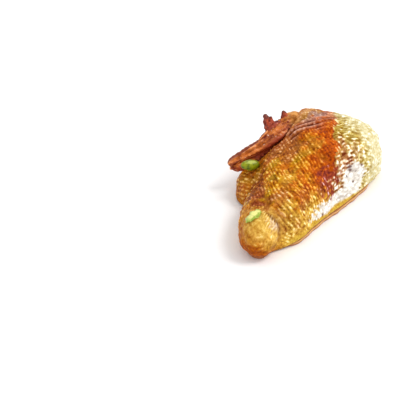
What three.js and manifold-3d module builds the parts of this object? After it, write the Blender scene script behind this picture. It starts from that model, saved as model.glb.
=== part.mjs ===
// Half a roast duck, split lengthwise and lying on its cut side, with the two bits of
// garnish that rest on it. Units are millimetres and +Z is up. While it is worked out, +X
// runs from the knee to the blunt end of the breast along the straight breastbone edge,
// which is the X axis, and +Y goes from that edge towards the back, where the wing is
// folded. At the end the whole is moved so that the origin is at the bottom centre.

import * as THREE from "three";
import { mergeVertices } from "three/addons/utils/BufferGeometryUtils.js";
import Module from "manifold-3d";

// ---- driving dimensions -------------------------------------------------------------

// Each lobe is a rounded block: its centre, its three radii, how blunt it is (2 is an
// ellipsoid, more is boxier), how far it is turned about Z in degrees, and over what
// depth it blends into the lobes before it.
const BREAST = { centre: [124, 38, 14], radii: [69, 47, 63], blunt: 2.5, turn: -6, blend: 0 };
const SHOULDER = { centre: [138, 71, 54], radii: [27, 18, 21], blunt: 2.1, turn: 8, blend: 16 };
const THIGH = { centre: [51, 47, 15], radii: [66, 27, 37], blunt: 2.3, turn: 33, blend: 30 };
const BELLY = { centre: [63, 29, 8], radii: [86, 27, 35], blunt: 2.4, turn: 2, blend: 16 };
const KNEE = { centre: [-16, 32, 20], radii: [35, 20, 21], blunt: 2.1, turn: 33, blend: 10 };
const BACK = { centre: [80, 79, 8], radii: [46, 30, 30], blunt: 2.2, turn: -6, blend: 10 };
const HIP = { centre: [20, 51, 12], radii: [38, 20, 27], blunt: 2.1, turn: 25, blend: 12 };
const LOBES = [BREAST, SHOULDER, THIGH, BELLY, KNEE, BACK, HIP];

const KEEL_SLOPE = 0.3;        // the breastbone side leans out by this much per mm of height
const KEEL_ROUND = 7;          // rounding where that side meets the breast
const SPARE_DEPTH = 6;         // how far the body is carried below the cut before it is made

const SKIN_HEART = [78, 44, 16];       // inner point that sees the whole skin
const SKIN_REACH = [118, 60, 58];      // rough half lengths of the body from that point
const SKIN_SIDES = 80;                 // facets round the long axis
const SKIN_RINGS = 40;                 // facets from end to end

// Limbs: points along the middle of each, with the radius at its ends and middle.
const FOREARM = {
  path: [[142, 77, 57], [119, 87, 56.5], [97, 93, 52], [77, 103, 43.5], [52, 117, 33.5]],
  girth: [12.5, 10, 7.6, 6.2, 5.4], sides: 14, rings: 18,
};
const UPPER_ARM = {
  path: [[54, 115, 31], [74, 108, 28], [96, 99, 27], [122, 84, 30]],
  girth: [5, 8.5, 12, 15], sides: 14, rings: 14,
};
const TORN_TIPS = [
  { path: [[101, 93, 50], [101, 98, 64], [100, 103, 78]], girth: [7.5, 6, 4.6], sides: 9, rings: 9 },
  { path: [[105, 91, 50], [106, 94, 64], [105, 97, 76]], girth: [7.5, 6, 4.2], sides: 9, rings: 9 },
  { path: [[116, 87, 54], [119, 90, 67], [120.5, 92, 78]], girth: [7.5, 5.5, 2.6], sides: 9, rings: 9 },
];

const FIT_GAP = 0.5;           // clearance between the duck and what rests on it
const SETTLE_STEP = 0.25;      // step by which a resting piece is raised until it is clear
const BEAN = { centre: [54, 90, 30], radii: [10.2, 6.2, 5.4], turn: -46, sides: 18, rings: 12 };
const SLICE = { centre: [-25.3, 33], length: 19, width: 10.5, thick: 2.6, turn: -12, sides: 20, rings: 10 };

const CREASE_STEP = 0.004;     // step of the search along each line out from the heart
const HALVINGS = 22;           // refinements of that search

// ---- finishes -----------------------------------------------------------------------

const ROAST_SKIN = new THREE.MeshStandardMaterial({ color: 0xb8701c, roughness: 0.4, metalness: 0 });
const GREEN_BEAN = new THREE.MeshStandardMaterial({ color: 0x6f9418, roughness: 0.4, metalness: 0 });
const PALE_PEPPER = new THREE.MeshStandardMaterial({ color: 0xb9cc6e, roughness: 0.4, metalness: 0 });

// ---- the form of the bird -----------------------------------------------------------

const wasm = await Module();
wasm.setup();

const radians = THREE.MathUtils.degToRad;

// Lower of two distances, rounded over a depth, so that two lobes flow together.
function softMin(a, b, depth) {
  if (depth === 0) return Math.min(a, b);
  const share = THREE.MathUtils.clamp(0.5 + (0.5 * (b - a)) / depth, 0, 1);
  return b * (1 - share) + a * share - depth * share * (1 - share);
}

function softMax(a, b, depth) {
  return -softMin(-a, -b, depth);
}

// Rough distance from a point to a lobe, negative inside it.
function lobeDistance(p, { centre, radii, blunt, turn }) {
  const dx = p.x - centre[0];
  const dy = p.y - centre[1];
  const dz = p.z - centre[2];
  const c = Math.cos(radians(turn));
  const s = Math.sin(radians(turn));
  const along = Math.abs(dx * c + dy * s) / radii[0];
  const across = Math.abs(dy * c - dx * s) / radii[1];
  const up = Math.abs(dz) / radii[2];
  const level = (along ** blunt + across ** blunt + up ** blunt) ** (1 / blunt);
  return ((level - 1) / Math.max(level, 1e-6)) * Math.hypot(dx, dy, dz);
}

// Distance to the body before it is cut flat underneath: the lobes flowed together, then
// cut by the leaning breastbone side.
function bodyDistance(p) {
  let d = Infinity;
  for (const lobe of LOBES) {
    d = softMin(d === Infinity ? lobeDistance(p, lobe) : d, lobeDistance(p, lobe), lobe.blend);
  }
  const keel = -(p.y + KEEL_SLOPE * p.z) / Math.hypot(1, KEEL_SLOPE);
  return Math.max(softMax(d, keel, KEEL_ROUND), -p.z - SPARE_DEPTH);
}

// ---- helpers for closed meshes --------------------------------------------------------

// A unit ball whose poles lie on the X axis, with only shared positions left.
function ball(sides, rings) {
  const geometry = new THREE.SphereGeometry(1, sides, rings);
  geometry.deleteAttribute("normal");
  geometry.deleteAttribute("uv");
  const merged = mergeVertices(geometry, 1e-5);
  const at = merged.attributes.position;
  for (let i = 0; i < at.count; i++) {
    at.setXYZ(i, at.getY(i), at.getZ(i), at.getX(i));
  }
  return merged;
}

// Moves every vertex of a geometry to where the given function puts it.
function moveVertices(geometry, place) {
  const at = geometry.attributes.position;
  const p = new THREE.Vector3();
  for (let i = 0; i < at.count; i++) {
    p.fromBufferAttribute(at, i);
    place(p);
    at.setXYZ(i, p.x, p.y, p.z);
  }
  return geometry;
}

function toSolid(geometry) {
  const vertProperties = new Float32Array(geometry.attributes.position.array);
  const triVerts = new Uint32Array(geometry.index.array);
  return new wasm.Manifold(new wasm.Mesh({ numProp: 3, vertProperties, triVerts }));
}

function toGeometry(solid) {
  const mesh = solid.getMesh();
  const geometry = new THREE.BufferGeometry();
  geometry.setAttribute("position", new THREE.BufferAttribute(mesh.vertProperties, 3));
  geometry.setIndex(new THREE.BufferAttribute(mesh.triVerts, 1));
  geometry.computeVertexNormals();
  return geometry;
}

// ---- sub-parts ------------------------------------------------------------------------

// The body: a ball whose every vertex is moved along its own line out of the heart to the
// outermost place where that line leaves the body.
function bodyGeometry() {
  const heart = new THREE.Vector3(...SKIN_HEART);
  const reach = new THREE.Vector3(...SKIN_REACH);
  const probe = new THREE.Vector3();
  const farthest = 1.9;
  return moveVertices(ball(SKIN_SIDES, SKIN_RINGS), (p) => {
    const line = p.clone().multiply(reach);
    const distanceAt = (t) => bodyDistance(probe.copy(line).multiplyScalar(t).add(heart));
    let outside = farthest;
    while (distanceAt(outside - CREASE_STEP) > 0) outside -= CREASE_STEP;
    let inside = outside - CREASE_STEP;
    for (let i = 0; i < HALVINGS; i++) {
      const middle = (inside + outside) / 2;
      if (distanceAt(middle) > 0) outside = middle;
      else inside = middle;
    }
    p.copy(line).multiplyScalar(inside).add(heart);
  });
}

// A limb: a ball drawn out along a curve, so that it is closed and round at both ends.
// Its vertices go round the curve's point at their own length, at the limb's radius there.
function limbGeometry({ path, girth, sides, rings }) {
  const middle = new THREE.CatmullRomCurve3(path.map((q) => new THREE.Vector3(...q)));
  const radiusAt = (u) => {
    const place = u * (girth.length - 1);
    const before = Math.min(Math.floor(place), girth.length - 2);
    return THREE.MathUtils.lerp(girth[before], girth[before + 1], place - before);
  };
  return moveVertices(ball(sides, rings), (p) => {
    const polar = Math.acos(THREE.MathUtils.clamp(-p.x, -1, 1));
    const u = (1 - Math.cos(polar)) / 2;
    const round = Math.sin(polar);
    const tangent = middle.getTangent(u);
    const side = new THREE.Vector3(0, 0, 1).cross(tangent).normalize();
    const up = tangent.clone().cross(side);
    const spread = round < 1e-6 ? 0 : (radiusAt(u) * Math.sqrt(round)) / round;
    const sideways = p.y * spread;
    const upwards = p.z * spread;
    p.copy(middle.getPoint(u)).addScaledVector(side, sideways).addScaledVector(up, upwards);
  });
}

// One solid: the body, both segments of the folded wing and the torn tips, cut flat where
// the bird was split.
function duckSolid() {
  const below = new THREE.BoxGeometry(1000, 1000, 100);
  below.deleteAttribute("normal");
  below.deleteAttribute("uv");
  below.translate(0, 0, -50);
  let duck = toSolid(bodyGeometry()).subtract(toSolid(mergeVertices(below)));
  for (const limb of [FOREARM, UPPER_ARM, ...TORN_TIPS]) {
    duck = duck.add(toSolid(limbGeometry(limb)));
  }
  return duck;
}

// The bean is a small ellipsoid lying in the valley between the wing and the thigh. It
// starts inside the bird and is raised until it only rests on it.
function beanGeometry(duck) {
  const { centre, radii, turn, sides, rings } = BEAN;
  const geometry = ball(sides, rings);
  geometry.scale(...radii);
  geometry.rotateZ(radians(turn));
  geometry.translate(...centre);
  while (!duck.intersect(toSolid(geometry)).isEmpty()) {
    geometry.translate(0, 0, SETTLE_STEP);
  }
  geometry.translate(0, 0, FIT_GAP);
  geometry.computeVertexNormals();
  return geometry;
}

// Height of the body's skin above a place on the sole.
function skinHeight(x, y) {
  const probe = new THREE.Vector3(x, y, 0);
  let above = 100;
  let below = 0;
  for (let i = 0; i < HALVINGS; i++) {
    probe.z = (above + below) / 2;
    if (bodyDistance(probe) > 0) above = probe.z;
    else below = probe.z;
  }
  return above;
}

// The slice is a thin crescent of pepper draped over the knee: a flattened ball whose
// vertices keep their height above the skin under them.
function sliceGeometry() {
  const { centre, length, width, thick, turn, sides, rings } = SLICE;
  const c = Math.cos(radians(turn));
  const s = Math.sin(radians(turn));
  const geometry = moveVertices(ball(sides, rings), (p) => {
    const along = (p.x * length) / 2;
    const across = (p.y * width) / 2;
    const x = centre[0] + along * c - across * s;
    const y = centre[1] + along * s + across * c;
    const lift = FIT_GAP + (thick / 2) * (1 + p.z);
    p.set(x, y, skinHeight(x, y) + lift);
  });
  geometry.computeVertexNormals();
  return geometry;
}

// ---- assembly -------------------------------------------------------------------------

function named(name, geometry, material) {
  const mesh = new THREE.Mesh(geometry, material);
  mesh.name = name;
  return mesh;
}

const duck = duckSolid();
const halfDuck = new THREE.Group();
halfDuck.add(named("duck", toGeometry(duck), ROAST_SKIN));
halfDuck.add(named("green_bean", beanGeometry(duck), GREEN_BEAN));
halfDuck.add(named("pepper_slice", sliceGeometry(), PALE_PEPPER));

// Move the origin to the bottom centre of the whole.
const box = new THREE.Box3().setFromObject(halfDuck);
const middle = box.getCenter(new THREE.Vector3());
halfDuck.position.set(-middle.x, -middle.y, -box.min.z);

export default halfDuck;
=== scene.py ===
"""Half a roast duck, split lengthwise and lying on its cut side, with two bits of garnish.

Shapes are worked out in millimetres from a zero point on the floor, near the knee end of the
breastbone edge. There x runs along that edge to the blunt end of the breast, y goes from the
edge towards the back, where the wing is folded, and z is up.
"""

import bpy
import numpy as np
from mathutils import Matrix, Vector


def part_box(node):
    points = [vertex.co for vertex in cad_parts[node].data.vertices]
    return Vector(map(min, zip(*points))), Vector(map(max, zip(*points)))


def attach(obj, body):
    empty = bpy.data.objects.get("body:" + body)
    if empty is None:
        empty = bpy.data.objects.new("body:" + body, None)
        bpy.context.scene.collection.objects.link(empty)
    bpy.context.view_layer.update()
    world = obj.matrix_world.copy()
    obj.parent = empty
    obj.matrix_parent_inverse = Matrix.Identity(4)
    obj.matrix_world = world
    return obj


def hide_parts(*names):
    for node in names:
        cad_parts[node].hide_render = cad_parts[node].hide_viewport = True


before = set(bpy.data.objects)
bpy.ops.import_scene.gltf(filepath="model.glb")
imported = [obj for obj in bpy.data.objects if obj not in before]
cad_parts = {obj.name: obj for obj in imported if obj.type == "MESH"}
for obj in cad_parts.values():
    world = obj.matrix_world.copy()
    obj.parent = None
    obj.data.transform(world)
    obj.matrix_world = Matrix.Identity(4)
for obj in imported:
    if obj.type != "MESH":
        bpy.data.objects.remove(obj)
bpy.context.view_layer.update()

# ---- Floor, light and camera ---------------------------------------------------------------
# A plain white table top under soft studio light: an even sky, a broad soft main light from
# above the front, and a weak low lamp that rakes along the breastbone side.

MM = 0.001
KNEE_END = 47.36              # the knee's low corner lies this far before the zero point
EDGE_BULGE = 7.68             # and the breastbone side this far in front of it
ZERO = np.array(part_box("duck")[0]) + MM * np.array((KNEE_END, EDGE_BULGE, 0))

FLOOR_HALF = 30.0             # metres from the middle of the floor to its sides
FLOOR_WHITE = 0.95
SKY_STRENGTH = 0.95

VIEW_ELEVATION = 32.0
VIEW_AZIMUTH = -53.8
VIEW_DISTANCE = 1111.1
VIEW_AIM = (0, 0, 4)          # this place on the duck
VIEW_ASIDE = (94, -46)        # is seen this many mm right of and above the middle
LENS = 100
SENSOR = 36

MAIN_FROM = (0.30, -0.55, 0.95)        # direction to the main light
MAIN_DISTANCE = 2                      # metres, as are those of the side lamp
MAIN_STRENGTH = 1.15
MAIN_SPREAD = 24                       # its apparent width in degrees, which softens shadows
SIDE_FROM = (0.81, -0.56, 0.16)
SIDE_DISTANCE = 1.1
SIDE_SIZE = 0.7
SIDE_WATTS = 1.8


def frame_place(points):
    """Millimetres from the zero point become metres in the frame: p * MM + ZERO."""
    return np.asarray(points, float) * MM + ZERO


def view_axes(azimuth, elevation):
    """Right, up and forward of a camera: right lies level, forward slopes down by the elevation."""
    a = np.radians(azimuth)
    e = np.radians(elevation)
    right = np.array((np.cos(a), np.sin(a), 0))
    forward = np.array((-np.sin(a) * np.cos(e), np.cos(a) * np.cos(e), -np.sin(e)))
    return right, np.cross(right, forward), forward


floor_corners = np.array([(-1, -1, 0), (1, -1, 0), (1, 1, 0), (-1, 1, 0)]) * FLOOR_HALF
floor_mesh = bpy.data.meshes.new("floor")
floor_mesh.from_pydata(floor_corners.tolist(), [], [(0, 1, 2, 3)])
floor = bpy.data.objects.new("floor", floor_mesh)
bpy.context.scene.collection.objects.link(floor)
floor_finish = bpy.data.materials.new("floor_white")
floor_finish.use_nodes = True
floor_shader = floor_finish.node_tree.nodes["Principled BSDF"]
floor_shader.inputs["Base Color"].default_value = (FLOOR_WHITE,) * 3 + (1,)
floor_shader.inputs["Roughness"].default_value = 0.9
floor_shader.inputs["Specular IOR Level"].default_value = 0.1
floor_mesh.materials.append(floor_finish)

sky = bpy.data.worlds.new("sky")
sky.use_nodes = True
sky.node_tree.nodes["Background"].inputs["Color"].default_value = (1, 1, 1, 1)
sky.node_tree.nodes["Background"].inputs["Strength"].default_value = SKY_STRENGTH
bpy.context.scene.world = sky
bpy.context.scene.view_settings.view_transform = "Standard"


def add_light(name, kind, direction, distance, **settings):
    """A light of the given kind, at a distance in a direction, that looks back at the duck."""
    data = bpy.data.lights.new(name, kind)
    for key, value in settings.items():
        setattr(data, key, value)
    light = bpy.data.objects.new(name, data)
    light.location = Vector(direction).normalized() * distance
    light.rotation_euler = Vector(direction).to_track_quat("Z", "Y").to_euler()
    light.visible_camera = False
    bpy.context.scene.collection.objects.link(light)


add_light("main_light", "SUN", MAIN_FROM, MAIN_DISTANCE,
          energy=MAIN_STRENGTH, angle=np.radians(MAIN_SPREAD))
add_light("side_lamp", "AREA", SIDE_FROM, SIDE_DISTANCE, energy=SIDE_WATTS, size=SIDE_SIZE)

right, up, forward = view_axes(VIEW_AZIMUTH, VIEW_ELEVATION)
middle_of_view = np.array(VIEW_AIM) - right * VIEW_ASIDE[0] - up * VIEW_ASIDE[1]
camera_data = bpy.data.cameras.new("camera")
camera_data.lens = LENS
camera_data.sensor_width = SENSOR
camera = bpy.data.objects.new("camera", camera_data)
camera.location = frame_place(middle_of_view - forward * VIEW_DISTANCE)
camera.rotation_euler = (np.radians(90 - VIEW_ELEVATION), 0, np.radians(VIEW_AZIMUTH))
bpy.context.scene.collection.objects.link(camera)
bpy.context.scene.camera = camera

# ---- Roast skin ----------------------------------------------------------------------------
# The whole outside of breast, belly, thigh and knee: one duck skin, pricked all over by the
# feather pores, roasted golden, burnt orange over the crown and left pale at the blunt end of
# the breast. It is drawn tight by the fat under it and rolled in at the breastbone cut.

LOBES = [  # centre, radii, bluntness, turn about z in degrees, depth of blending
    ((124, 38, 14), (69, 47, 63), 2.5, -6, 0),      # breast
    ((138, 71, 54), (27, 18, 21), 2.1, 8, 16),      # shoulder
    ((51, 47, 15), (66, 27, 37), 2.3, 33, 30),      # thigh
    ((63, 29, 8), (86, 27, 35), 2.4, 2, 16),        # belly
    ((-16, 32, 20), (35, 20, 21), 2.1, 33, 10),     # knee
    ((80, 79, 8), (46, 30, 30), 2.2, -6, 10),       # back
    ((20, 51, 12), (38, 20, 27), 2.1, 25, 12),      # hip
]
KEEL_SLOPE = 0.3              # the breastbone side leans out by this much per mm of height
KEEL_ROUND = 7
SOLE_LEVEL = 0.8              # the skin ends this high over the table,
CUT_LIFT = 3.2                # and higher by this along the breastbone, where the cut meat shows
SOLE_ROUND = 3

HEART = np.array((78, 44, 16))      # the skin is found along lines out of this point, which
REACH = np.array((118, 60, 58))     # are spread as over an ellipsoid of these radii
SKIN_RINGS = 300
SIDES_OUTSIDE = 310           # facets over the outside, from cut edge to cut edge
SIDES_SOLE = 20
SOLE_ANGLE = np.radians(45)   # the sole takes this angle each way from straight down

ROW_GAP = 4.4                 # rows of goose bumps lie this far apart along the bird
DOT_GAP = 4.9                 # and the bumps of a row this far apart round it
ROW_WAVER = 0.12              # and both waver by about this share of a gap
BUMP_STRAY = 0.3              # a bump strays from its place by up to this share of a gap,
STRAY_ACROSS = 0.6            # but by only this much of it across the rows
BUMP_STRETCH = 1.8            # a bump is this much longer than it is wide
BUMP_WIDTH = 0.25             # in shares of the mean gap, a bump is down to 1/e this far from
PIT_BEGINS = 0.42             # its middle, and the pit round it begins this far out
PIT_DEEPEST = 0.66            # and is deepest from here on
LOWEST_BUMP = 0.2             # heights are drawn from this to 1
BACK_LEAN = 0.8               # coming up the back, rows lean this much towards the knee,
THIGH_LEAN = 0.6              # then down over the thigh this much towards the breast, and
BREAST_LEAN = -0.15           # down over the breast a little back towards the knee
RIDGE = -12                   # they turn this far round the skin from its top, on the
RIDGE_WIDTH = 8               # breastbone side, over about this width

BUMP_HEIGHT = 0.34
PORE_DEPTH = 0.15
LINE_HEIGHT = 0.12            # of the fine lines along the rows and over the pale skin
UNEVEN_BROAD = 0.7            # the skin swells and sinks by about this over 34 mm,
UNEVEN_ROUGH = 0.45           # this over 14 mm
UNEVEN_FINE = 0.15            # and this over 6 mm
GROOVE_WIDTH = 3.4            # the forearm of the wing presses this groove into the skin
GROOVE_DEPTH = 2.0
RIM_GAP = 6                   # and the edge of it catches light this far from the forearm
RIM_WIDTH = 2.6
SHOULDER_FROM = 114           # between these places along the bird the wing runs into the
SHOULDER_TO = 124             # shoulder: its groove fades, and its dark skin turns tan
WRINKLE_GAP = 8.6             # wrinkles of loose skin by the root of the wing
WRINKLE_HEIGHT = 1.4
CREASE_WIDTH = 1.9            # the crease between thigh and knee,
CREASE_DEPTH = 2.2
CREASE_RIM_PLACE = -5         # its rim on the knee
CREASE_RIM_WIDTH = 3
CREASE_RIM_HEIGHT = 0.9
FOLD_GAP = 5.5                # and the small folds beside it
FOLD_HEIGHT = 0.3
ROLL_LEVEL = 8.5              # the skin is rolled in over the cut: it stands out most here
ROLL_WIDTH = 3.4
ROLL_HEIGHT = 1.6
NIP_WIDTH = 1.6               # and is nipped in just above the smooth strip
NIP_DEPTH = 0.6

PALE_LINE_BENDS = [  # push towards the blunt end in mm, centre, radii and edge of its patch
    (4.0, (87, 0, 44), (10, 10, 12), 0.9),
    (2.0, (100, 15, 69), (14, 14, 12), 1.0),
    (3.0, (126, 36, 77), (16, 14, 9), 1.0),
    (-2.6, (97, 6, 61), (5, 6, 6), 1.0),
    (1.5, (90, 6, 56), (6, 6, 6), 1.0),
]
RUSTY_PATCHES = [  # strength, centre, radii
    (0.5, (78, 18, 62), (8, 9, 11)), (0.7, (35, 11, 42), (7, 9, 9)),
    (0.7, (25, 7, 35), (6, 7, 6)), (0.8, (-3, 17, 36), (5, 7, 8)),
    (0.6, (10, 4, 24), (5, 6, 8)), (0.5, (22, 28, 49), (14, 8, 8)),
    (0.6, (58, 6, 37), (7, 8, 7)), (0.5, (3, 20, 40), (7, 6, 7)),
    (0.9, (-8, 11, 28), (5, 6, 9)), (0.5, (8, 32, 43), (8, 6, 7)),
    (0.5, (-11, 40, 40), (8, 7, 7)),
]
AMBER_PATCHES = [
    (0.9, (10, 14, 41), (9, 8, 7)), (0.35, (88, 33, 72), (8, 8, 8)),
    (0.5, (40, 34, 55), (12, 9, 8)), (0.5, (9, 6, 31), (6, 6, 6)),
    (0.8, (-18, 8, 17), (9, 6, 9)),
]
VALLEY_PATH = [(86, 71, 63), (72, 77, 52), (58, 82, 43)]       # dark juices have dried along
VALLEY_GIRTH = [2, 3, 3]                                       # painted shade lies along this line beside the wing
FOREARM_PATH = [(142, 77, 57), (119, 87, 56.5), (97, 93, 52), (77, 103, 43.5), (52, 117, 33.5)]
FOREARM_GIRTH = [12.5, 10, 7.6, 6.2, 5.4]                      # of the wing, built further down


def unit(vectors):
    """Vectors over their lengths."""
    return vectors / np.linalg.norm(vectors, axis=-1, keepdims=True)


def wave_noise(points, size, seed, waves=28):
    """Smooth random field of spread 1: the sum of seeded waves cos(k . p + phase), whose
    directions are random and whose lengths are 0.7 to 1.4 times the given size."""
    draw = np.random.default_rng(seed)
    k = unit(draw.normal(size=(waves, 3)))
    k *= 2 * np.pi / (size * draw.uniform(0.7, 1.4, (waves, 1)))
    phase = draw.uniform(0, 2 * np.pi, waves)
    return np.cos(points @ k.T + phase).sum(-1) * np.sqrt(2 / waves)


def smooth_step(low, high, value):
    """0 below low, 1 above high, and 3 t^2 - 2 t^3 between."""
    t = np.clip((value - low) / (high - low), 0, 1)
    return t * t * (3 - 2 * t)


def smooth_drop(low, high, value):
    """1 below low, 0 above high: 1 less the smooth step."""
    return 1 - smooth_step(low, high, value)


def bell(value, width):
    """1 at 0 and down to 1/e at the width on either side: exp(-(value / width)^2)."""
    return np.exp(-((value / width) ** 2))


def soft_min(a, b, depth):
    """Lower of two distances, rounded over a depth: b (1 - t) + a t - depth t (1 - t)."""
    if depth == 0:
        return np.minimum(a, b)
    t = np.clip(0.5 + 0.5 * (b - a) / depth, 0, 1)
    return b * (1 - t) + a * t - depth * t * (1 - t)


def turned(points, degrees):
    """Points turned about z by minus the angle, into axes that are themselves turned by it."""
    c, s = np.cos(np.radians(degrees)), np.sin(np.radians(degrees))
    x, y, z = points[..., 0], points[..., 1], points[..., 2]
    return np.stack((x * c + y * s, y * c - x * s, z), -1)


def cut_side(x, y):
    """1 along the breastbone cut and 0 at the knee, at the blunt end and round the back."""
    return smooth_drop(4, 20, y) * smooth_step(-14, 4, x) * smooth_drop(132, 156, x)


def body_distance(points):
    """Rough distance to the skin in mm, negative inside. A lobe's is (level - 1) / level
    times the distance to its centre, with level = (sum |q / radii| ^ bluntness) ^ (1 /
    bluntness). The lobes flow together, and the breastbone side and the sole cut them."""
    total = None
    for centre, radii, blunt, turn, blend in LOBES:
        q = points - np.array(centre)
        level = (np.abs(turned(q, turn) / radii) ** blunt).sum(-1) ** (1 / blunt)
        d = (level - 1) / np.maximum(level, 1e-6) * np.linalg.norm(q, axis=-1)
        total = d if total is None else soft_min(total, d, blend)
    x, y, z = points[..., 0], points[..., 1], points[..., 2]
    keel = -(y + KEEL_SLOPE * z) / np.hypot(1, KEEL_SLOPE)
    total = -soft_min(-total, -keel, KEEL_ROUND)
    sole = SOLE_LEVEL + CUT_LIFT * cut_side(x, y)
    return -soft_min(-total, z - sole, SOLE_ROUND)


def outermost(start, line, distance, farthest=1.9, step=0.02):
    """Where lines out of a start point last leave a body: t comes in from the farthest by
    steps until the distance is below zero, and is then halved down on the crossing."""
    t = np.full(line.shape[:-1], farthest)
    searching = np.ones(t.shape, bool)
    while searching.any():
        t[searching] -= step
        inside = distance(start + line[searching] * t[searching][:, None]) < 0
        searching[searching] = ~inside & (t[searching] > step)
    low, high = t, t + step
    for _ in range(16):
        middle = (low + high) / 2
        inside = distance(start + line * middle[..., None]) < 0
        low = np.where(inside, middle, low)
        high = np.where(inside, high, middle)
    return start + line * low[..., None]


def even_turns(count, long, short):
    """Angles 0 to pi that cut the half ellipse (long cos, short sin) into equal lengths."""
    fine = np.linspace(0, np.pi, 2000)
    speed = np.hypot(long * np.sin(fine), short * np.cos(fine))
    length = np.concatenate(([0], np.cumsum((speed[1:] + speed[:-1]) / 2)))
    return np.interp(np.linspace(0, length[-1], count + 1), length, fine)


def grid_normals(grid, heart):
    """Unit normals of a grid of rings: the cross product of the steps along and round it,
    turned away from the heart."""
    along = np.gradient(grid, axis=0)
    round_it = np.roll(grid, -1, 1) - np.roll(grid, 1, 1)
    n = np.cross(along, round_it)
    n /= np.maximum(np.linalg.norm(n, axis=-1, keepdims=True), 1e-9)
    away = np.sign((n * (grid - heart)).sum(-1).mean())
    return n * away


def closed_piece(name, grid, finish, first, last, attributes=None):
    """A closed mesh from rings of points, grid[ring, side], and the two poles that close
    its first and last ring. Attributes are arrays [ring, side] or [ring, side, 3], and a
    pole takes the mean of the ring beside it."""
    rings, sides = grid.shape[:2]
    points = np.concatenate((grid.reshape(-1, 3), [first, last]))
    index = np.arange(rings * sides).reshape(rings, sides)
    beside = np.roll(index, -1, 1)
    quads = np.stack((index[:-1], beside[:-1], beside[1:], index[1:]), -1).reshape(-1, 4)
    start = np.stack((np.full(sides, rings * sides), beside[0], index[0]), -1)
    end = np.stack((np.full(sides, rings * sides + 1), index[-1], beside[-1]), -1)
    middle = grid.mean((0, 1))
    mesh = bpy.data.meshes.new(name)
    mesh.from_pydata(frame_place(points).tolist(), [], quads.tolist() + start.tolist() + end.tolist())
    corners = points[quads]
    face_normals = np.cross(corners[:, 1] - corners[:, 0], corners[:, 2] - corners[:, 0])
    if (face_normals * (corners[:, 0] - middle)).sum() < 0:
        mesh.flip_normals()
    mesh.shade_smooth()
    for key, values in (attributes or {}).items():
        deep = values.ndim == 3
        at = mesh.attributes.new(key, "FLOAT_VECTOR" if deep else "FLOAT", "POINT")
        flat = values.reshape(rings * sides, -1)
        ends = np.stack((flat[:sides].mean(0), flat[-sides:].mean(0)))
        whole = np.concatenate((flat, ends)).astype(np.float32)
        at.data.foreach_set("vector" if deep else "value", whole.ravel())
    mesh.materials.append(finish)
    piece = bpy.data.objects.new(name, mesh)
    bpy.context.scene.collection.objects.link(piece)
    return piece


def spot(points, centre, radii, ragged=0.0, turn=0, edge=0.9):
    """A soft patch in space: 1 inside the ellipsoid of these radii, falling to 0 over the
    edge, which is given as a share of the radii; ragged moves that edge point by point."""
    q = turned(points - np.array(centre), turn) / radii
    level = np.linalg.norm(q, axis=-1) + ragged
    return smooth_drop(1 - edge / 2, 1 + edge / 2, level)


def strongest(points, patches, ragged):
    """Soft patches together: at each point the greatest strength * spot of them all."""
    return np.maximum.reduce([
        strength * spot(points, centre, radii, ragged) for strength, centre, radii in patches])


def goose_bumps(points, row, dot, lie, seed):
    """Uneven goose bumps on a lattice laid over the skin, whose whole numbers of row and dot
    are its places, every other row shifted by half a step. Each bump strays from its place
    and sits on the grid point nearest to where that takes it. With d the distance in space
    to the nearest bump over the mean gap, shortened by the stretch along the way the bumps
    lie, it gives the bump, height * exp(-(d / width)^2), the pit, which rises from 0 to 1
    from where it begins to where it is deepest, and the height drawn for that bump."""
    draw = np.random.default_rng(seed)
    rows_near, dots_near = 1, 3       # the nearest bump is at most this many places away
    far_off = 1e4
    first_row = int(np.floor(row.min())) - rows_near - 1
    first_dot = int(np.floor(dot.min())) - dots_near - 1
    rows = int(np.ceil(row.max())) + rows_near + 2 - first_row
    dots = int(np.ceil(dot.max())) + dots_near + 2 - first_dot
    stray = draw.uniform(-BUMP_STRAY, BUMP_STRAY, (rows, dots, 2)) * (STRAY_ACROSS, 1.0)
    tall = draw.uniform(LOWEST_BUMP, 1.0, (rows, dots))
    i = np.floor(row).astype(int) - first_row
    shift = 0.5 * (i % 2)
    j = np.floor(dot - shift).astype(int) - first_dot
    off = np.hypot(row - first_row - i - 0.5 - stray[i, j, 0],
                   dot - first_dot - shift - j - 0.5 - stray[i, j, 1])
    best_last = np.argsort(-off.ravel(), kind="stable")
    seats = np.full((rows, dots, 3), far_off)
    seats[i.ravel()[best_last], j.ravel()[best_last]] = points.reshape(-1, 3)[best_last]
    nearest = np.full(row.shape, far_off)
    height = np.zeros(row.shape)
    for row_step in range(-rows_near, rows_near + 1):
        for dot_step in range(-dots_near, dots_near + 1):
            a, b = i + row_step, j + dot_step
            away = points - seats[a, b]
            length = (away * lie).sum(-1) * np.sqrt(1 - 1 / BUMP_STRETCH ** 2)
            d = np.sqrt(np.maximum((away ** 2).sum(-1) - length ** 2, 0)) / np.sqrt(ROW_GAP * DOT_GAP)
            closer = d < nearest
            nearest = np.where(closer, d, nearest)
            height = np.where(closer, tall[a, b], height)
    pit = smooth_step(PIT_BEGINS, PIT_DEEPEST, nearest)
    return height * bell(nearest, BUMP_WIDTH), pit, height


def smooth_path(points, u):
    """Catmull-Rom curve through the points: with t in one span between b and c, 0.5 (2 b +
    (c - a) t + (2 a - 5 b + 4 c - d) t^2 + (3 b - a - 3 c + d) t^3)."""
    p = np.asarray(points, float)
    p = np.concatenate(([2 * p[0] - p[1]], p, [2 * p[-1] - p[-2]]))
    place = np.clip(u, 0, 1) * (len(p) - 3)
    k = np.minimum(place.astype(int), len(p) - 4)
    t = (place - k)[:, None]
    a, b, c, d = p[k], p[k + 1], p[k + 2], p[k + 3]
    return 0.5 * (2 * b + (c - a) * t + (2 * a - 5 * b + 4 * c - d) * t ** 2
                  + (3 * b - a - 3 * c + d) * t ** 3)


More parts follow.
